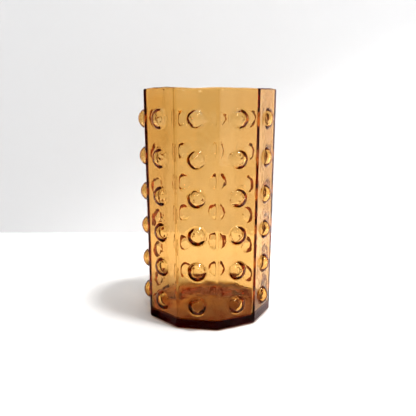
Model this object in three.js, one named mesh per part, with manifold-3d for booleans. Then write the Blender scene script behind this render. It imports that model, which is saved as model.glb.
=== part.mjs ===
// Ten-sided vase of blown and moulded glass: six rows of round hollow bosses, one column on each side.
// Each boss is a domed button of glass, dimpled inside, that fills a round place in the vessel's wall.
// Millimetres, +Z up, origin at the middle of the underside, side 1 facing -Y.
import * as THREE from "three";
import { mergeVertices } from "three/addons/utils/BufferGeometryUtils.js";
import Module from "manifold-3d";

// Driving dimensions
const SIDES = 10;
const HEIGHT = 200;
const BASE_CIRCUMRADIUS = 57.4; // axis to the sharp corner at the underside
const RIM_CIRCUMRADIUS = 59.6; // the wall leans out a little, as a mould needs
const ARRIS_RADIUS = 1.6; // rounding of the ten upright edges, outside
const BORE_ARRIS_RADIUS = 5.5; // the same edges, inside, on average
const BORE_ARRIS_SPREAD = 3; // how much rounder or sharper some of them came out
const BASE_WALL = 3.4;
const RIM_WALL = 3.6;
const FLOOR = 7; // thickness of the bottom above the standing face
const HEEL_RADIUS = 3;
const FLOOR_FILLET = 3;
const LIP_RADIUS = 1.5; // rounding of the rim by fire, outside and inside
const DISH_RADIUS = 38; // shallow hollow of the underside
const DISH_DEPTH = 2.0;

const ROWS = 6;
const LOWEST_ROW = 20.5;
const ROW_PITCH = 29.7;
const ROW_PITCH_GROWTH = 0.26; // the rows open out slightly towards the rim
const BOSS_RADIUS = 8.2; // where the dome meets the wall
const BOSS_RISE = 4.8;
const FOOT_FLARE = 0.9; // how far the foot of a dome spreads on the wall
const LOW_SHELL = 3.6; // glass at the crown of a boss, near the bottom of the vase
const HIGH_SHELL = 2.8; // the same near the rim, where the glass was blown thinner
const LOW_LIP = 1.5; // rounding of the lip of the hollow behind a boss, low on the vase
const HIGH_LIP = 5; // the same at the rim, where the glass was hotter and flowed more
const FLOW_START = 60; // height above which the lips get rounder
const BUTTON_RADIUS = 10; // edge of the button that a boss stands on
const LOW_BOSS_RISE = 3.2; // the one boss that barely stands out
const LOW_BOSS = { row: 1, side: 4 };
const GAP = 0.3;

const HALF_STEP = Math.PI / SIDES;
const ARC_STEPS = 3; // segments in each rounded corner
const TURN_STEPS = 4; // rings in the heel and the floor fillet
const LIP_STEPS = 2; // rings in each rounding of the rim
const BOSS_SEGMENTS = 12;
const DOME_RINGS = 3;
const DIMPLE_RINGS = 3;

const FACE_SPREAD = Math.cos(HALF_STEP);

function outerApothem(z) {
  const radius = THREE.MathUtils.lerp(BASE_CIRCUMRADIUS, RIM_CIRCUMRADIUS, z / HEIGHT);
  return radius * FACE_SPREAD;
}

function wallAt(z) {
  return THREE.MathUtils.lerp(BASE_WALL, RIM_WALL, z / HEIGHT);
}

function shellAt(z) {
  return THREE.MathUtils.lerp(LOW_SHELL, HIGH_SHELL, z / HEIGHT);
}

function lipAt(z) {
  return THREE.MathUtils.lerp(LOW_LIP, HIGH_LIP, THREE.MathUtils.smoothstep(z, FLOW_START, HEIGHT));
}

function innerApothem(z) {
  return outerApothem(z) - wallAt(z);
}

// Rounding of the corner after a side, inside: the ten corners came out more or less round.
function boreArris(side) {
  return BORE_ARRIS_RADIUS + BORE_ARRIS_SPREAD * Math.sin(1.9 * side - 3.47);
}

// One level outline: a ten-sided figure with rounded corners; a corner as large as the apothem is a circle.
function outline(apothem, z, cornerAt) {
  const points = [];
  for (let side = 0; side < SIDES; side += 1) {
    const corner = cornerAt(side);
    const reach = (apothem - corner) / FACE_SPREAD;
    const middle = -Math.PI / 2 + HALF_STEP + side * 2 * HALF_STEP;
    for (let step = 0; step <= ARC_STEPS; step += 1) {
      const angle = middle + HALF_STEP * ((2 * step) / ARC_STEPS - 1);
      points.push([
        reach * Math.cos(middle) + corner * Math.cos(angle),
        reach * Math.sin(middle) + corner * Math.sin(angle),
        z,
      ]);
    }
  }
  return points;
}

// Skin over a stack of outlines, closed at each end by a fan to a point on the axis.
function skin(rings, firstZ, lastZ) {
  const count = rings[0].length;
  const positions = [0, 0, firstZ];
  rings.forEach((ring) => ring.forEach((point) => positions.push(...point)));
  positions.push(0, 0, lastZ);
  const last = rings.length * count + 1;
  const index = [];
  const at = (ring, i) => 1 + ring * count + (i % count);
  for (let i = 0; i < count; i += 1) {
    index.push(0, at(0, i + 1), at(0, i));
    index.push(last, at(rings.length - 1, i), at(rings.length - 1, i + 1));
  }
  for (let ring = 0; ring + 1 < rings.length; ring += 1) {
    for (let i = 0; i < count; i += 1) {
      index.push(at(ring, i), at(ring, i + 1), at(ring + 1, i + 1));
      index.push(at(ring, i), at(ring + 1, i + 1), at(ring + 1, i));
    }
  }
  const geometry = new THREE.BufferGeometry();
  geometry.setAttribute("position", new THREE.Float32BufferAttribute(positions, 3));
  geometry.setIndex(index);
  return geometry;
}

function vesselGeometry() {
  const rings = [];
  [0.35, 0.7, 1].forEach((share) => {
    const rise = DISH_DEPTH * (1 - share * share);
    rings.push(outline(DISH_RADIUS * share, rise, () => DISH_RADIUS * share));
  });

  const heelApothem = outerApothem(HEEL_RADIUS) - HEEL_RADIUS;
  for (let step = 0; step <= TURN_STEPS; step += 1) {
    const turn = (Math.PI / 2) * (step / TURN_STEPS);
    const apothem = heelApothem + HEEL_RADIUS * Math.sin(turn);
    rings.push(outline(apothem, HEEL_RADIUS * (1 - Math.cos(turn)), () => ARRIS_RADIUS));
  }

  const lipTop = HEIGHT - LIP_RADIUS;
  const lipOuter = outerApothem(lipTop) - LIP_RADIUS;
  const lipInner = innerApothem(lipTop) + LIP_RADIUS;
  for (let step = 0; step <= LIP_STEPS; step += 1) {
    const turn = (Math.PI / 2) * (step / LIP_STEPS);
    const apothem = lipOuter + LIP_RADIUS * Math.cos(turn);
    rings.push(outline(apothem, lipTop + LIP_RADIUS * Math.sin(turn), () => ARRIS_RADIUS));
  }
  for (let step = 0; step <= LIP_STEPS; step += 1) {
    const turn = (Math.PI / 2) * (1 - step / LIP_STEPS);
    const apothem = lipInner - LIP_RADIUS * Math.cos(turn);
    rings.push(outline(apothem, lipTop + LIP_RADIUS * Math.sin(turn), boreArris));
  }

  const filletZ = FLOOR + FLOOR_FILLET;
  const filletApothem = innerApothem(filletZ) - FLOOR_FILLET;
  for (let step = 0; step <= TURN_STEPS; step += 1) {
    const turn = (Math.PI / 2) * (step / TURN_STEPS);
    const apothem = filletApothem + FLOOR_FILLET * Math.cos(turn);
    rings.push(outline(apothem, filletZ - FLOOR_FILLET * Math.sin(turn), boreArris));
  }
  return skin(rings, DISH_DEPTH, FLOOR);
}

// Radius of the ball that a dome is cut from.
function ballRadius(rise) {
  return (BOSS_RADIUS * BOSS_RADIUS + rise * rise) / (2 * rise);
}

// The round dome of a boss over the plane z = 0, from its foot to its crown: [radius, height].
function domeCurve(rise) {
  const ball = ballRadius(rise);
  const spread = 2 * Math.atan(rise / BOSS_RADIUS);
  const curve = [[BOSS_RADIUS + FOOT_FLARE, 0]];
  for (let ring = 0; ring < DOME_RINGS; ring += 1) {
    const tilt = spread * (1 - (ring + 0.3) / (DOME_RINGS + 0.3));
    curve.push([ball * Math.sin(tilt), rise - ball * (1 - Math.cos(tilt))]);
  }
  curve.push([0, rise]);
  return curve;
}

// The hollow behind a boss, from its crown to its lip on the inside of the wall: [radius, height].
function dimpleCurve(rise, z) {
  const ball = ballRadius(rise) - shellAt(z);
  const centre = rise - ballRadius(rise);
  const soft = lipAt(z);
  const lift = soft - wallAt(z) - centre;
  const lip = Math.sqrt((ball + soft) ** 2 - lift ** 2);
  const touch = Math.atan2(lip, lift);
  const curve = [[0, centre + ball]];
  for (let ring = 1; ring <= DIMPLE_RINGS; ring += 1) {
    const tilt = (touch * ring) / DIMPLE_RINGS;
    curve.push([ball * Math.sin(tilt), centre + ball * Math.cos(tilt)]);
  }
  curve.push([lip - soft * Math.sin(touch / 2), soft * (1 - Math.cos(touch / 2)) - wallAt(z)]);
  curve.push([lip, -wallAt(z)]);
  return curve;
}

function turned(curve) {
  const profile = curve.map(([radius, height]) => new THREE.Vector2(radius, height));
  const geometry = new THREE.LatheGeometry(profile, BOSS_SEGMENTS);
  geometry.rotateX(Math.PI / 2);
  return geometry;
}

// A boss with the round of wall that it stands on.
function bossGeometry(rise, z) {
  const edge = [[BUTTON_RADIUS, -wallAt(z)], [BUTTON_RADIUS, 0]];
  return turned([...dimpleCurve(rise, z), ...edge, ...domeCurve(rise)]);
}

// The round place in the wall that takes a boss.
function socketGeometry(wall) {
  const radius = BUTTON_RADIUS + GAP;
  return turned([[0, -wall - 2], [radius, -wall - 2], [radius, 2], [0, 2]]);
}

function rowHeight(row) {
  const step = ROWS - row;
  return LOWEST_ROW + ROW_PITCH * step + ROW_PITCH_GROWTH * step * step;
}

// Puts a boss on its side at the height of its row, square to the leaning wall.
function placement(row, side) {
  const z = rowHeight(row);
  const lean = Math.atan((outerApothem(HEIGHT) - outerApothem(0)) / HEIGHT);
  const heading = -Math.PI / 2 + (side - 1) * 2 * HALF_STEP;
  const outward = new THREE.Vector3(
    Math.cos(heading) * Math.cos(lean),
    Math.sin(heading) * Math.cos(lean),
    -Math.sin(lean),
  );
  const across = new THREE.Vector3(-Math.sin(heading), Math.cos(heading), 0);
  const up = new THREE.Vector3().crossVectors(outward, across);
  const reach = outerApothem(z);
  const origin = new THREE.Vector3(Math.cos(heading) * reach, Math.sin(heading) * reach, z);
  return new THREE.Matrix4().makeBasis(across, up, outward).setPosition(origin);
}

const wasm = await Module();
wasm.setup();

function toSolid(geometry) {
  const bare = geometry.clone();
  bare.deleteAttribute("normal");
  bare.deleteAttribute("uv");
  const merged = mergeVertices(bare, 1e-3);
  return new wasm.Manifold(
    new wasm.Mesh({
      numProp: 3,
      vertProperties: new Float32Array(merged.attributes.position.array),
      triVerts: new Uint32Array(merged.index.array),
    }),
  );
}

function toGeometry(solid) {
  const mesh = solid.getMesh();
  const geometry = new THREE.BufferGeometry();
  const stride = mesh.numProp;
  const positions = new Float32Array(mesh.numVert * 3);
  for (let i = 0; i < mesh.numVert; i += 1) {
    positions.set(mesh.vertProperties.subarray(i * stride, i * stride + 3), i * 3);
  }
  geometry.setAttribute("position", new THREE.BufferAttribute(positions, 3));
  geometry.setIndex(new THREE.BufferAttribute(mesh.triVerts, 1));
  return geometry;
}

function glass() {
  return new THREE.MeshStandardMaterial({
    color: 0xc98a34,
    roughness: 0.08,
    metalness: 0,
    transparent: true,
    opacity: 0.72,
  });
}

function named(geometry, name) {
  const flat = geometry.index ? geometry.toNonIndexed() : geometry;
  flat.computeVertexNormals();
  const mesh = new THREE.Mesh(flat, glass());
  mesh.name = name;
  return mesh;
}

const vase = new THREE.Group();
vase.name = "hobnail_vase";

let vessel = toSolid(vesselGeometry());
const bosses = [];
for (let row = 1; row <= ROWS; row += 1) {
  const z = rowHeight(row);
  const wall = wallAt(z);
  for (let side = 1; side <= SIDES; side += 1) {
    const place = placement(row, side);
    if (row === LOW_BOSS.row && side === LOW_BOSS.side) {
      const dome = turned([[0, -1], [BOSS_RADIUS + FOOT_FLARE, -1], ...domeCurve(LOW_BOSS_RISE)]);
      const hollow = dimpleCurve(LOW_BOSS_RISE, z).reverse();
      const dimple = turned([[0, -wall - 1], [hollow[0][0], -wall - 1], ...hollow]);
      vessel = vessel.add(toSolid(dome.applyMatrix4(place)));
      vessel = vessel.subtract(toSolid(dimple.applyMatrix4(place)));
      continue;
    }
    vessel = vessel.subtract(toSolid(socketGeometry(wall).applyMatrix4(place)));
    const boss = toSolid(bossGeometry(BOSS_RISE, z).applyMatrix4(place));
    const label = String(side).padStart(2, "0");
    bosses.push(named(toGeometry(boss), "boss_row" + row + "_side" + label));
  }
}
vase.add(named(toGeometry(vessel), "vessel"));
bosses.forEach((boss) => vase.add(boss));

export default vase;
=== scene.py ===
"""Amber ten-sided hobnail vase of clear glass with sixty round bosses, on a pale studio floor.

Lengths in the shapes are millimetres; the meshes, the studio and the camera are in metres.
"""
import math

import bpy
from mathutils import Matrix, Vector, noise


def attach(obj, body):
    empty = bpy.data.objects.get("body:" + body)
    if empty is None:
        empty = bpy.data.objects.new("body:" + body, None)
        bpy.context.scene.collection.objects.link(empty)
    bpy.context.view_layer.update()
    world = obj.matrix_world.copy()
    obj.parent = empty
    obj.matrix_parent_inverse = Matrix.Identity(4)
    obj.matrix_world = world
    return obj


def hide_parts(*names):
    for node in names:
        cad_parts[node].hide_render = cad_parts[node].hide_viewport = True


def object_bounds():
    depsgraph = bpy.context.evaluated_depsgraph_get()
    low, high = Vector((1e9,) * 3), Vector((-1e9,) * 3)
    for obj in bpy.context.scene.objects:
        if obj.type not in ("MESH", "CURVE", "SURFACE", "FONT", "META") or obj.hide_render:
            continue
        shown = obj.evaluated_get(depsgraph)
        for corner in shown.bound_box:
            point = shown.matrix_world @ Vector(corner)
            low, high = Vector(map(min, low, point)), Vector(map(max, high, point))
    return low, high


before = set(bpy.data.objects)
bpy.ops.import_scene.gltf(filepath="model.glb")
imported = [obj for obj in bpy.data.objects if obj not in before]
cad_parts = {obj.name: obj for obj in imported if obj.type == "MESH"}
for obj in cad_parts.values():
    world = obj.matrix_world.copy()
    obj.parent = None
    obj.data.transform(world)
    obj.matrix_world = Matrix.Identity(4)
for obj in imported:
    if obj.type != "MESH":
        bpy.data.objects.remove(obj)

cad_box = [list(c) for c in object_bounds()]

MM = 0.001
SIDES = 10
ROWS = 6
HALF = math.pi / SIDES
LOW = cad_box[0][2]
HEIGHT = (cad_box[1][2] - cad_box[0][2]) / MM
BASE_CIRCUMRADIUS = 57.4
RIM_CIRCUMRADIUS = 59.6
ARRIS = 1.6
BORE_ARRIS = 5.5
BORE_ARRIS_SPREAD = 3.0
BASE_WALL = 3.4
RIM_WALL = 3.6
FLOOR = 7.0
HEEL = 3.0
FLOOR_FILLET = 3.0
LIP = 1.5
DISH_RADIUS = 38.0
DISH_DEPTH = 2.0
DISH_SHARES = (0.2, 0.4, 0.6, 0.8, 0.92, 1.0)
FLOOR_SHARES = (0.85, 0.7, 0.55, 0.4, 0.25, 0.1)
FLOOR_SWELL = 0.5  # unevenness of the inside of the bottom
FLOOR_SWELL_SIZE = 14.0
RIM_BAND = 6.0  # plain wall between the last cell and the lip
WAVY_RIM = 26.0  # how far down from the rim its waves die out
CALM_RIM = 12.0  # how far down from the rim the bore is smooth
RIPPLE_SIZE = 11.0

LOWEST_ROW = 20.5
ROW_PITCH = 29.7
ROW_PITCH_GROWTH = 0.26
BOSS_RADIUS = 8.2
BOSS_RISE = 4.8
BOSS_FILLET = 1.6
LOW_SHELL = 3.6
HIGH_SHELL = 2.8
LOW_LIP = 1.5
HIGH_LIP = 5.0
FLOW_START = 60.0
BUTTON_RADIUS = 10.0
LOW_BOSS_RISE = 3.2
LOW_BOSS = (1, 4)
WELD_GAP = 0.02
RAG = 0.26  # unevenness of the hollows behind the bosses
RAG_SIZE = 2.2

FLAT_STEPS = 12
ARC_STEPS = 6
TURN_STEPS = 8
LIP_STEPS = 5
CELL_STEPS = 12
BOSS_SEGMENTS = 4 * CELL_STEPS
DOME_RINGS = 12
BANDS = 4


def lerp(a, b, t):
    return a + (b - a) * t


def smooth(t):
    t = min(max(t, 0.0), 1.0)
    return t * t * (3 - 2 * t)


def outer_apothem(z):
    return lerp(BASE_CIRCUMRADIUS, RIM_CIRCUMRADIUS, z / HEIGHT) * math.cos(HALF)


def wall_at(z):
    return lerp(BASE_WALL, RIM_WALL, z / HEIGHT)


def shell_at(z):
    return lerp(LOW_SHELL, HIGH_SHELL, z / HEIGHT)


def lip_at(z):
    return lerp(LOW_LIP, HIGH_LIP, smooth((z - FLOW_START) / (HEIGHT - FLOW_START)))


def inner_apothem(z):
    return outer_apothem(z) - wall_at(z)


def row_height(row):
    step = ROWS - row
    return LOWEST_ROW + ROW_PITCH * step + ROW_PITCH_GROWTH * step * step


def heading(side):
    return -math.pi / 2 + side * 2 * HALF


def arris(corner):
    return ARRIS


def bore_arris(corner):
    """Inside, the ten corners came out more or less round; corner 0 is the one after side 0."""
    return BORE_ARRIS + BORE_ARRIS_SPREAD * math.sin(1.9 * (corner % SIDES) - 3.47)


def flat_half(apothem, corner):
    return (apothem - corner) * math.tan(HALF)


def on_flat(side, u, apothem, z):
    a = heading(side)
    return Vector(
        (
            apothem * math.cos(a) - u * math.sin(a),
            apothem * math.sin(a) + u * math.cos(a),
            z,
        )
    )


def on_arc(side, share, apothem, corner, z):
    """A point of the rounded corner between a side and the next; share runs from 0 to 1."""
    reach = (apothem - corner) / math.cos(HALF)
    middle = heading(side) + HALF
    a = middle + HALF * (2 * share - 1)
    return Vector(
        (
            reach * math.cos(middle) + corner * math.cos(a),
            reach * math.sin(middle) + corner * math.sin(a),
            z,
        )
    )


class Skin:
    """Vertices shared by key, faces, and the faces that are welds."""

    def __init__(self):
        self.points = []
        self.normals = []
        self.index = {}
        self.faces = []
        self.welds = []

    def vertex(self, key, point, normal=None):
        if key not in self.index:
            self.index[key] = len(self.points)
            self.points.append(point)
            self.normals.append(normal or Vector((0, 0, 0)))
        return self.index[key]

    def face(self, corners, weld=False):
        clean = []
        for c in corners:
            if not clean or clean[-1] != c:
                clean.append(c)
        if clean[0] == clean[-1]:
            clean.pop()
        if len(clean) > 2:
            self.faces.append(clean)
            self.welds.append(1.0 if weld else 0.0)


def flat_point(side, i, apothem, corner_at, z):
    left = -flat_half(apothem, corner_at(side - 1))
    right = flat_half(apothem, corner_at(side))
    return on_flat(side, lerp(left, right, i / FLAT_STEPS), apothem, z)


def ring_points(apothem, z, corner_at):
    points = []
    for side in range(SIDES):
        for i in range(FLAT_STEPS + 1):
            points.append(flat_point(side, i, apothem, corner_at, z))
        for i in range(1, ARC_STEPS):
            points.append(on_arc(side, i / ARC_STEPS, apothem, corner_at(side), z))
    return points


RING = SIDES * (FLAT_STEPS + ARC_STEPS)


def ring_slot(side, i):
    return (side % SIDES) * (FLAT_STEPS + ARC_STEPS) + i


def rim_wave(point):
    """How far the fire-polished rim rises or dips at this bearing."""
    a = math.atan2(point.y, point.x)
    round_the_rim = Vector((1.5 * math.cos(a), 1.5 * math.sin(a), 3.7))
    slow = noise.noise(round_the_rim) * 1.6
    quick = noise.noise(round_the_rim * 3.1 + Vector((0, 0, 5.0))) * 0.5
    share = smooth((point.z - (HEIGHT - WAVY_RIM)) / WAVY_RIM)
    return (slow + quick) * share


def bore_ripple(point):
    """Unevenness of the inside, which no mould touched."""
    p = point / RIPPLE_SIZE
    broad = noise.noise(Vector((p.x, p.y, p.z * 0.6)))
    fine = noise.noise(p * 2.3 + Vector((7.0, 0, 0)))
    return 0.16 * broad + 0.05 * fine


def add_ring(skin, name, apothem, z, corner_at, ripple=False):
    ids = []
    for i, p in enumerate(ring_points(apothem, z, corner_at)):
        if ripple:
            out = Vector((p.x, p.y, 0)).normalized()
            p = p + out * bore_ripple(p) * min(1.0, (HEIGHT - p.z) / CALM_RIM)
        p.z += rim_wave(p)
        ids.append(skin.vertex((name, i), p))
    return ids


def join_rings(skin, lower, upper):
    for i in range(RING):
        j = (i + 1) % RING
        skin.face([lower[i], lower[j], upper[j], upper[i]])


def side_normal(side):
    lean = math.atan((outer_apothem(HEIGHT) - outer_apothem(0)) / HEIGHT)
    a = heading(side)
    return Vector((math.cos(a) * math.cos(lean), math.sin(a) * math.cos(lean), -math.sin(lean)))


def dome_profile(rise):
    """(radius, height) from the foot of a boss to just under its crown: a fillet, then a cap of a ball."""
    ball = (BOSS_RADIUS**2 + rise**2) / (2 * rise)
    sunk = ball - rise
    foot = math.sqrt((ball + BOSS_FILLET) ** 2 - (BOSS_FILLET + sunk) ** 2)
    touch = math.atan2(foot, BOSS_FILLET + sunk)
    profile = []
    for i in range(5):
        a = touch * i / 5
        profile.append((foot - BOSS_FILLET * math.sin(a), BOSS_FILLET * (1 - math.cos(a))))
    for i in range(DOME_RINGS):
        a = touch * (1 - i / DOME_RINGS)
        profile.append((ball * math.sin(a), ball * math.cos(a) - sunk))
    return profile


def dimple_profile(rise, row):
    """(radius, height) from the lip of a hollow to just under its crown: a soft lip, then a cap."""
    wall = wall_at(row_height(row))
    shell = shell_at(row_height(row))
    crown = rise - shell
    ball = (BOSS_RADIUS**2 + rise**2) / (2 * rise) - shell
    centre = crown - ball
    soft = lip_at(row_height(row))
    lift = soft - wall - centre
    lip = math.sqrt((ball + soft) ** 2 - lift**2)
    touch = math.atan2(lip, lift)
    profile = []
    for i in range(7):
        a = touch * i / 7
        profile.append((lip - soft * math.sin(a), -wall + soft * (1 - math.cos(a))))
    for i in range(DOME_RINGS):
        a = touch * (1 - i / DOME_RINGS)
        profile.append((ball * math.sin(a), ball * math.cos(a) + centre))
    return profile


def boss_matrix(row, side):
    z = row_height(row)
    out = side_normal(side)
    a = heading(side)
    across = Vector((-math.sin(a), math.cos(a), 0))
    up = out.cross(across)
    origin = on_flat(side, 0, outer_apothem(z), z)
    m = Matrix((across, up, out)).transposed().to_4x4()
    m.translation = origin
    return m


def ripple(point):
    """A point of the inside, moved in or out by the unevenness of the bore."""
    out = Vector((point.x, point.y, 0)).normalized()
    share = smooth((HEIGHT - point.z) / CALM_RIM) * smooth((point.z - FLOOR) / FLOOR_FILLET)
    return point + out * bore_ripple(point) * share


def border_offset(point, side):
    """How far a point lies to the right of the middle of a side."""
    a = heading(side)
    return point.y * math.cos(a) - point.x * math.sin(a)


def button_edge(row, side, i, inside):
    """A point on the edge of a boss's button, on the outside of the wall or on the inside."""
    place = boss_matrix(row, side)
    a = 2 * math.pi * i / BOSS_SEGMENTS - 3 * math.pi / 4
    u, v = BUTTON_RADIUS * math.cos(a), BUTTON_RADIUS * math.sin(a)
    if not inside:
        return place @ Vector((u, v, 0))
    h = -wall_at(row_height(row))
    for _ in range(4):
        p = place @ Vector((u, v, h))
        turned = Matrix.Rotation(-heading(side), 3, "Z") @ p
        h += inner_apothem(p.z) - turned.x
    return place @ Vector((u, v, h))


def lathe(skin, row, side, name, start, profile, crown_height, outside):
    """Rings about the axis of a boss, from a ring of vertices already made to the crown."""
    place = boss_matrix(row, side)
    grown = start
    for k, (radius, height) in enumerate(profile):
        ring = []
        for i in range(BOSS_SEGMENTS):
            r, h = radius, height
            a = 2 * math.pi * i / BOSS_SEGMENTS - 3 * math.pi / 4
            if not outside:
                p = place @ Vector((r * math.cos(a), r * math.sin(a), h)) / RAG_SIZE
                rag = RAG * min(1.0, k / 3) * min(1.0, r / 5)
                r += rag * noise.noise(p)
                h += rag * noise.noise(p + Vector((9.0, 0, 0)))
            p = place @ Vector((r * math.cos(a), r * math.sin(a), h))
            ring.append(skin.vertex((name, k, i), p if outside else ripple(p)))
        for i in range(BOSS_SEGMENTS):
            j = (i + 1) % BOSS_SEGMENTS
            face = [grown[i], grown[j], ring[j], ring[i]]
            skin.face(face if outside else face[::-1])
        grown = ring
    p = place @ Vector((0, 0, crown_height))
    crown = skin.vertex((name, "crown"), p if outside else ripple(p))
    for i in range(BOSS_SEGMENTS):
        face = [grown[i], grown[(i + 1) % BOSS_SEGMENTS], crown]
        skin.face(face if outside else face[::-1])


def walls(skin, z_low, z_high, bore_low):
    """Both faces of the wall from the heel to the lip: a cell for each boss, with a round place in it."""
    between = [(row_height(row) + row_height(row - 1)) / 2 for row in range(ROWS, 1, -1)]
    cells = {
        True: [bore_low, *between, z_high - RIM_BAND],
        False: [z_low, *between, z_high - RIM_BAND],
    }
    levels = {}
    for inside, bounds in cells.items():
        levels[inside] = []
        for cell in range(ROWS):
            for i in range(CELL_STEPS):
                levels[inside].append(lerp(bounds[cell], bounds[cell + 1], i / CELL_STEPS))
        levels[inside].append(bounds[-1])
        levels[inside].append(z_high)
    top = ROWS * CELL_STEPS + 1
    apothem_of = {True: inner_apothem, False: outer_apothem}
    corner_of = {True: bore_arris, False: arris}

    def finished(p, inside):
        p = ripple(p) if inside else p
        p.z += rim_wave(p)
        return p

    def flat_vertex(inside, side, i, level):
        z = levels[inside][level]
        apothem = apothem_of[inside](z)
        p = flat_point(side % SIDES, i, apothem, corner_of[inside], z)
        normal = None if inside else side_normal(side)
        return skin.vertex(("wall", inside, level, ring_slot(side, i)), finished(p, inside), normal)

    def arc_vertex(inside, side, i, level):
        if i == 0:
            return flat_vertex(inside, side, FLAT_STEPS, level)
        if i == ARC_STEPS:
            return flat_vertex(inside, side + 1, 0, level)
        z = levels[inside][level]
        p = on_arc(side, i / ARC_STEPS, apothem_of[inside](z), corner_of[inside](side), z)
        normal = side_normal(side).lerp(side_normal(side + 1), i / ARC_STEPS).normalized()
        slot = ring_slot(side, FLAT_STEPS + i)
        return skin.vertex(("wall", inside, level, slot), finished(p, inside), None if inside else normal)

    def put(face, inside, weld=False):
        skin.face(face[::-1] if inside else face, weld)

    for inside in (False, True):
        for side in range(SIDES):
            for level in range(top):
                for i in range(ARC_STEPS):
                    put(
                        [
                            arc_vertex(inside, side, i, level),
                            arc_vertex(inside, side, i + 1, level),
                            arc_vertex(inside, side, i + 1, level + 1),
                            arc_vertex(inside, side, i, level + 1),
                        ],
                        inside,
                    )
            for i in range(FLAT_STEPS):
                put(
                    [
                        flat_vertex(inside, side, i, top - 1),
                        flat_vertex(inside, side, i + 1, top - 1),
                        flat_vertex(inside, side, i + 1, top),
                        flat_vertex(inside, side, i, top),
                    ],
                    inside,
                )

    for side in range(SIDES):
        for cell in range(ROWS):
            row = ROWS - cell
            first = cell * CELL_STEPS
            last = first + CELL_STEPS
            circles = {}
            for inside in (False, True):
                border = []
                for i in range(CELL_STEPS):
                    border.append(flat_vertex(inside, side, i, first))
                for i in range(CELL_STEPS):
                    border.append(flat_vertex(inside, side, FLAT_STEPS, first + i))
                for i in range(CELL_STEPS):
                    border.append(flat_vertex(inside, side, FLAT_STEPS - i, last))
                for i in range(CELL_STEPS):
                    border.append(flat_vertex(inside, side, 0, last - i))
                edge = [button_edge(row, side, i, inside) for i in range(BOSS_SEGMENTS)]
                outer = [skin.points[v] for v in border]
                bands = BANDS if inside else 1
                grown = border
                for band in range(1, bands + 1):
                    ring = []
                    for i in range(BOSS_SEGMENTS):
                        key = ("cell", inside, row, side, band, i)
                        if inside:
                            z = lerp(outer[i].z, edge[i].z, band / bands)
                            u_start = border_offset(outer[i], side)
                            u_end = border_offset(edge[i], side)
                            u = lerp(u_start, u_end, band / bands)
                            p = ripple(on_flat(side, u, inner_apothem(z), z))
                            if band == bands:
                                p = ripple(edge[i])
                            ring.append(skin.vertex(key, p))
                        else:
                            ring.append(skin.vertex(key, edge[i], side_normal(side)))
                    for i in range(BOSS_SEGMENTS):
                        j = (i + 1) % BOSS_SEGMENTS
                        put([grown[i], grown[j], ring[j], ring[i]], inside)
                    grown = ring
                circles[inside] = grown
            if (row, side + 1) == LOW_BOSS:
                rise = LOW_BOSS_RISE
                crown = rise - shell_at(row_height(row))
                lathe(skin, row, side, "low_dome", circles[False], dome_profile(rise), rise, True)
                hollow = dimple_profile(rise, row)
                lathe(skin, row, side, "low_dimple", circles[True], hollow, crown, False)
                continue
            for i in range(BOSS_SEGMENTS):
                j = (i + 1) % BOSS_SEGMENTS
                out, bore = circles[False], circles[True]
                skin.face([out[i], out[j], bore[j], bore[i]], weld=True)

    rings = {}
    for inside in (False, True):
        for name, level in (("low", 0), ("high", top)):
            rings[inside, name] = [skin.index[("wall", inside, level, i)] for i in range(RING)]
    return rings


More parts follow.
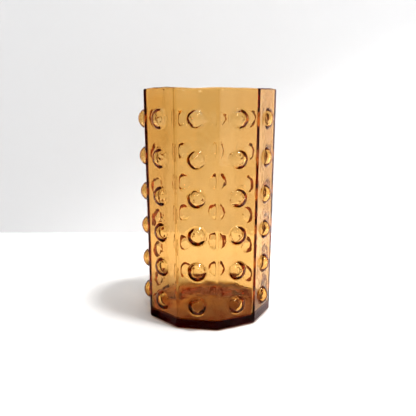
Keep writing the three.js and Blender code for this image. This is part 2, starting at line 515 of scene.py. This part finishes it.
def vessel_skin():
    skin = Skin()
    hub = skin.vertex(("hub",), Vector((0, 0, DISH_DEPTH)))
    previous = None
    for count, share in enumerate(DISH_SHARES):
        radius = DISH_RADIUS * share
        rise = DISH_DEPTH * (1 - share**3)
        ring = add_ring(skin, ("dish", count), radius, rise, lambda corner: radius * 0.999)
        if previous is None:
            for i in range(RING):
                skin.face([hub, ring[(i + 1) % RING], ring[i]])
        else:
            for i in range(RING):
                j = (i + 1) % RING
                skin.face([previous[i], previous[j], ring[j], ring[i]])
        previous = ring

    heel_apothem = outer_apothem(HEEL) - HEEL
    for step in range(TURN_STEPS):
        turn = math.pi / 2 * step / TURN_STEPS
        apothem = heel_apothem + HEEL * math.sin(turn)
        ring = add_ring(skin, ("heel", step), apothem, HEEL * (1 - math.cos(turn)), arris)
        join_rings(skin, previous, ring)
        previous = ring

    lip_top = HEIGHT - LIP
    fillet_z = FLOOR + FLOOR_FILLET
    rings = walls(skin, HEEL, lip_top, fillet_z)
    join_rings(skin, previous, rings[False, "low"])
    previous = rings[False, "high"]

    lip_outer = outer_apothem(lip_top) - LIP
    lip_inner = inner_apothem(lip_top) + LIP
    for step in range(1, LIP_STEPS + 1):
        turn = math.pi / 2 * step / LIP_STEPS
        apothem = lip_outer + LIP * math.cos(turn)
        ring = add_ring(skin, ("lip", step), apothem, lip_top + LIP * math.sin(turn), arris)
        join_rings(skin, previous, ring)
        previous = ring
    for step in range(LIP_STEPS):
        turn = math.pi / 2 * (1 - step / LIP_STEPS)
        apothem = lip_inner - LIP * math.cos(turn)
        ring = add_ring(skin, ("bore_lip", step), apothem, lip_top + LIP * math.sin(turn), bore_arris)
        join_rings(skin, previous, ring)
        previous = ring
    join_rings(skin, previous, rings[True, "high"])
    previous = rings[True, "low"]

    fillet_apothem = inner_apothem(fillet_z) - FLOOR_FILLET
    for step in range(1, TURN_STEPS + 1):
        turn = math.pi / 2 * step / TURN_STEPS
        z = fillet_z - FLOOR_FILLET * math.sin(turn)
        apothem = fillet_apothem + FLOOR_FILLET * math.cos(turn)
        ring = add_ring(skin, ("fillet", step), apothem, z, bore_arris, ripple=True)
        join_rings(skin, previous, ring)
        previous = ring

    for step, share in enumerate(FLOOR_SHARES):
        apothem = fillet_apothem * share
        corner = lerp(apothem * 0.98, BORE_ARRIS * share, share)
        ring = add_ring(skin, ("floor", step), apothem, FLOOR, lambda at: corner)
        for i in ring:
            p = skin.points[i]
            p.z += FLOOR_SWELL * noise.noise(Vector((p.x, p.y, 0)) / FLOOR_SWELL_SIZE)
        join_rings(skin, previous, ring)
        previous = ring
    middle = skin.vertex(("middle",), Vector((0, 0, FLOOR)))
    for i in range(RING):
        skin.face([previous[i], previous[(i + 1) % RING], middle])
    return skin


def boss_skin(row, side):
    """A boss with the round of wall that it stands on: a dome, a welded edge, and the hollow behind."""
    skin = Skin()
    place = boss_matrix(row, side)
    axis = place @ Vector((0, 0, 0))
    out = side_normal(side)
    edges = {}
    for inside in (False, True):
        edges[inside] = []
        for i in range(BOSS_SEGMENTS):
            p = button_edge(row, side, i, inside)
            p = ripple(p) if inside else p
            inward = axis - p
            inward = inward - out * inward.dot(out)
            p = p + inward.normalized() * WELD_GAP
            edges[inside].append(skin.vertex(("edge", inside, i), p))
    lathe(skin, row, side, "dome", edges[False], dome_profile(BOSS_RISE), BOSS_RISE, True)
    hollow = dimple_profile(BOSS_RISE, row)
    crown = BOSS_RISE - shell_at(row_height(row))
    lathe(skin, row, side, "dimple", edges[True], hollow, crown, False)
    for i in range(BOSS_SEGMENTS):
        j = (i + 1) % BOSS_SEGMENTS
        skin.face([edges[True][i], edges[True][j], edges[False][j], edges[False][i]], weld=True)
    return skin


def make_piece(name, skin, node, material):
    mesh = bpy.data.meshes.new(name)
    mesh.from_pydata([p * MM + Vector((0, 0, LOW)) for p in skin.points], [], skin.faces)
    # Every face stays smooth-shaded, because a glass volume is only closed where all its faces are alike.
    mesh.shade_smooth()
    weld = mesh.attributes.new("weld", "FLOAT", "FACE")
    weld.data.foreach_set("value", skin.welds)
    # The edges of the welds are creases, so that the shading does not round them.
    rims = [set(), set()]
    for key, vertex in skin.index.items():
        if key[0] == "edge" or (key[0] == "cell" and key[1] and key[4] == BANDS):
            rims[key[1]].add(vertex)
    for edge in mesh.edges:
        ends = set(edge.vertices)
        edge.use_edge_sharp = ends <= rims[0] or ends <= rims[1]
    if any(n.length for n in skin.normals):
        mesh.normals_split_custom_set([tuple(skin.normals[loop.vertex_index]) for loop in mesh.loops])
    mesh.materials.append(material)
    piece = bpy.data.objects.new(name, mesh)
    bpy.context.scene.collection.objects.link(piece)
    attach(piece, "root")
    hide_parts(node)
    return piece


def amber_glass():
    material = bpy.data.materials.new("amber_glass")
    material.use_nodes = True
    tree = material.node_tree
    nodes, links = tree.nodes, tree.links
    nodes.clear()
    out = nodes.new("ShaderNodeOutputMaterial")
    glass = nodes.new("ShaderNodeBsdfPrincipled")
    glass.inputs["IOR"].default_value = 1.52
    glass.inputs["Transmission Weight"].default_value = 1.0

    place = nodes.new("ShaderNodeTexCoord")
    cloud = nodes.new("ShaderNodeTexNoise")
    cloud.inputs["Scale"].default_value = 22.0
    cloud.inputs["Detail"].default_value = 2.0
    links.new(place.outputs["Object"], cloud.inputs["Vector"])

    tint = nodes.new("ShaderNodeMix")
    tint.data_type = "RGBA"
    tint.inputs["A"].default_value = (1.0, 0.985, 0.955, 1)
    tint.inputs["B"].default_value = (1.0, 0.995, 0.985, 1)
    links.new(cloud.outputs["Fac"], tint.inputs["Factor"])
    links.new(tint.outputs["Result"], glass.inputs["Base Color"])

    smear = nodes.new("ShaderNodeMapRange")
    smear.inputs["To Min"].default_value = 0.0
    smear.inputs["To Max"].default_value = 0.03
    links.new(cloud.outputs["Fac"], smear.inputs["Value"])
    links.new(smear.outputs["Result"], glass.inputs["Roughness"])

    swirl = nodes.new("ShaderNodeTexNoise")
    swirl.inputs["Scale"].default_value = 90.0
    swirl.inputs["Detail"].default_value = 1.0
    links.new(place.outputs["Object"], swirl.inputs["Vector"])
    bump = nodes.new("ShaderNodeBump")
    bump.inputs["Strength"].default_value = 0.10
    bump.inputs["Distance"].default_value = 0.001
    links.new(swirl.outputs["Fac"], bump.inputs["Height"])
    chill = nodes.new("ShaderNodeTexNoise")
    chill.inputs["Scale"].default_value = 300.0
    chill.inputs["Detail"].default_value = 0.0
    links.new(place.outputs["Object"], chill.inputs["Vector"])
    fine = nodes.new("ShaderNodeBump")
    fine.inputs["Strength"].default_value = 0.05
    fine.inputs["Distance"].default_value = 0.001
    links.new(chill.outputs["Fac"], fine.inputs["Height"])
    links.new(fine.outputs["Normal"], bump.inputs["Normal"])
    links.new(bump.outputs["Normal"], glass.inputs["Normal"])

    weld = nodes.new("ShaderNodeAttribute")
    weld.attribute_name = "weld"
    through = nodes.new("ShaderNodeBsdfTransparent")
    either = nodes.new("ShaderNodeMixShader")
    links.new(weld.outputs["Fac"], either.inputs["Fac"])
    links.new(glass.outputs["BSDF"], either.inputs[1])
    links.new(through.outputs["BSDF"], either.inputs[2])
    links.new(either.outputs["Shader"], out.inputs["Surface"])

    depth = nodes.new("ShaderNodeVolumeAbsorption")
    depth.inputs["Color"].default_value = (0.877, 0.612, 0.075, 1)
    depth.inputs["Density"].default_value = 230.0
    links.new(depth.outputs["Volume"], out.inputs["Volume"])
    return material


def paper(name, colour, shift):
    material = bpy.data.materials.new(name)
    material.use_nodes = True
    nodes, links = material.node_tree.nodes, material.node_tree.links
    skin = nodes["Principled BSDF"]
    skin.inputs["Roughness"].default_value = 0.9
    skin.inputs["Specular IOR Level"].default_value = 0.1
    grain = nodes.new("ShaderNodeTexNoise")
    grain.inputs["Scale"].default_value = 3.0
    mix = nodes.new("ShaderNodeMix")
    mix.data_type = "RGBA"
    mix.inputs["A"].default_value = (*colour, 1)
    mix.inputs["B"].default_value = (*[c - shift for c in colour], 1)
    links.new(grain.outputs["Fac"], mix.inputs["Factor"])
    links.new(mix.outputs["Result"], skin.inputs["Base Color"])
    return material


glass = amber_glass()
make_piece("glass_vessel", vessel_skin(), "vessel", glass)
for row in range(1, ROWS + 1):
    for side in range(SIDES):
        if (row, side + 1) == LOW_BOSS:
            continue
        node = f"boss_row{row}_side{side + 1:02d}"
        make_piece(f"glass_{node}", boss_skin(row, side), node, glass)

# The studio is turned with the camera, which looks at the edge between sides 1 and 2.
TURN = Matrix.Rotation(math.radians(9.54), 4, "Z")


def stage_plane(name, corners, material):
    mesh = bpy.data.meshes.new(name)
    mesh.from_pydata([TURN @ Vector(c) for c in corners], [], [(0, 1, 2, 3)])
    mesh.materials.append(material)
    plane = bpy.data.objects.new(name, mesh)
    bpy.context.scene.collection.objects.link(plane)


KEY_POWER = 41.0
PANEL_POWER = 0.4
SMALL_LAMP_POWER = 0.9
PATCH_POWER = 14.0
SKY_LEFT = 0.535
SKY_RIGHT = 0.60
SKY_BRIGHT_SIDE = (0.80, -0.55, 0.23)
WALL_Y = 0.30
WALL_HEIGHT = 1.2
REACH = 2.2
KEY_PLACE = (0.80, -0.48, 3.0)
PANEL_PLACE = (0.72, -0.56, 0.26)
SMALL_LAMP_PLACE = (0.08, -0.80, 0.80)
FOOT = (0, 0, 0)  # what the key light is aimed at
MIDDLE = (0, 0, 0.12)  # what the small lights are aimed at
KEY_SIZE = 0.42
PANEL_SIZE = 0.46
SMALL_LAMP_SIZE = 0.17
PATCH_PLACE = (0.9, -0.1, 0.55)
PATCH_TARGET = (0.29, 0.30, -0.38)
PATCH_ANGLE = math.radians(62)
CAMERA_PLACE = (0, -0.4522, 0.1795 + LOW)
CAMERA_PITCH = math.radians(10.62)
floor_z = LOW - 0.0002
stage_plane(
    "studio_floor",
    [
        (-REACH, -REACH, floor_z),
        (REACH, -REACH, floor_z),
        (REACH, WALL_Y, floor_z),
        (-REACH, WALL_Y, floor_z),
    ],
    paper("pale_floor", (0.88, 0.88, 0.88), 0.01),
)
stage_plane(
    "studio_wall",
    [
        (-REACH, WALL_Y, floor_z),
        (REACH, WALL_Y, floor_z),
        (REACH, WALL_Y, WALL_HEIGHT),
        (-REACH, WALL_Y, WALL_HEIGHT),
    ],
    paper("pale_wall", (0.775, 0.775, 0.779), 0.01),
)


def area_light(name, place, target, size, power):
    data = bpy.data.lights.new(name, "AREA")
    data.shape = "DISK"
    data.size = size
    data.energy = power
    light = bpy.data.objects.new(name, data)
    place = TURN @ Vector(place)
    aim = (TURN @ Vector(target)) - place
    light.location = place
    light.rotation_euler = aim.to_track_quat("-Z", "Y").to_euler()
    bpy.context.scene.collection.objects.link(light)


area_light("key", KEY_PLACE, FOOT, KEY_SIZE, KEY_POWER)
area_light("small_front_lamp", SMALL_LAMP_PLACE, MIDDLE, SMALL_LAMP_SIZE, SMALL_LAMP_POWER)
area_light("front_right_panel", PANEL_PLACE, MIDDLE, PANEL_SIZE, PANEL_POWER)

patch = bpy.data.lights.new("wall_patch", "SPOT")
patch.energy = PATCH_POWER
patch.spot_size = PATCH_ANGLE
patch.spot_blend = 0.16
patch.shadow_soft_size = 0.05
lamp = bpy.data.objects.new("wall_patch", patch)
lamp.location = TURN @ Vector(PATCH_PLACE)
aim = TURN @ Vector(PATCH_TARGET) - lamp.location
lamp.rotation_euler = aim.to_track_quat("-Z", "Y").to_euler()
bpy.context.scene.collection.objects.link(lamp)

world = bpy.data.worlds.new("studio")
bpy.context.scene.world = world
world.use_nodes = True
nodes, links = world.node_tree.nodes, world.node_tree.links
sky = nodes["Background"]
where = nodes.new("ShaderNodeTexCoord")
toward = nodes.new("ShaderNodeVectorMath")
toward.operation = "DOT_PRODUCT"
toward.inputs[1].default_value = TURN.to_3x3() @ Vector(SKY_BRIGHT_SIDE)
links.new(where.outputs["Generated"], toward.inputs[0])
across = nodes.new("ShaderNodeMapRange")
across.interpolation_type = "SMOOTHSTEP"
across.inputs["From Min"].default_value = -1.0
across.inputs["From Max"].default_value = 1.0
across.inputs["To Min"].default_value = SKY_LEFT
across.inputs["To Max"].default_value = SKY_RIGHT
links.new(toward.outputs["Value"], across.inputs["Value"])
links.new(across.outputs["Result"], sky.inputs["Strength"])
sky.inputs["Color"].default_value = (1.0, 1.0, 1.0, 1)

camera_data = bpy.data.cameras.new("camera")
camera_data.lens = 43.44
camera_data.sensor_width = 36.0
camera = bpy.data.objects.new("camera", camera_data)
camera.location = TURN @ Vector(CAMERA_PLACE)
look = TURN @ Vector((0, math.cos(CAMERA_PITCH), -math.sin(CAMERA_PITCH)))
camera.rotation_euler = look.to_track_quat("-Z", "Y").to_euler()
bpy.context.scene.collection.objects.link(camera)
bpy.context.scene.camera = camera

scene = bpy.context.scene
scene.view_settings.view_transform = "Standard"
scene.view_settings.use_curve_mapping = True
contrast = scene.view_settings.curve_mapping.curves[3]
contrast.points[0].location = (0.033, 0.0)
contrast.points[1].location = (0.787, 1.0)
for x, y in ((0.095, 0.033), (0.196, 0.133), (0.342, 0.3185), (0.54, 0.604)):
    contrast.points.new(x, y)
scene.view_settings.curve_mapping.update()
scene.cycles.max_bounces = 24
scene.cycles.transmission_bounces = 24
scene.cycles.glossy_bounces = 12
scene.cycles.transparent_max_bounces = 24
scene.cycles.use_denoising = True
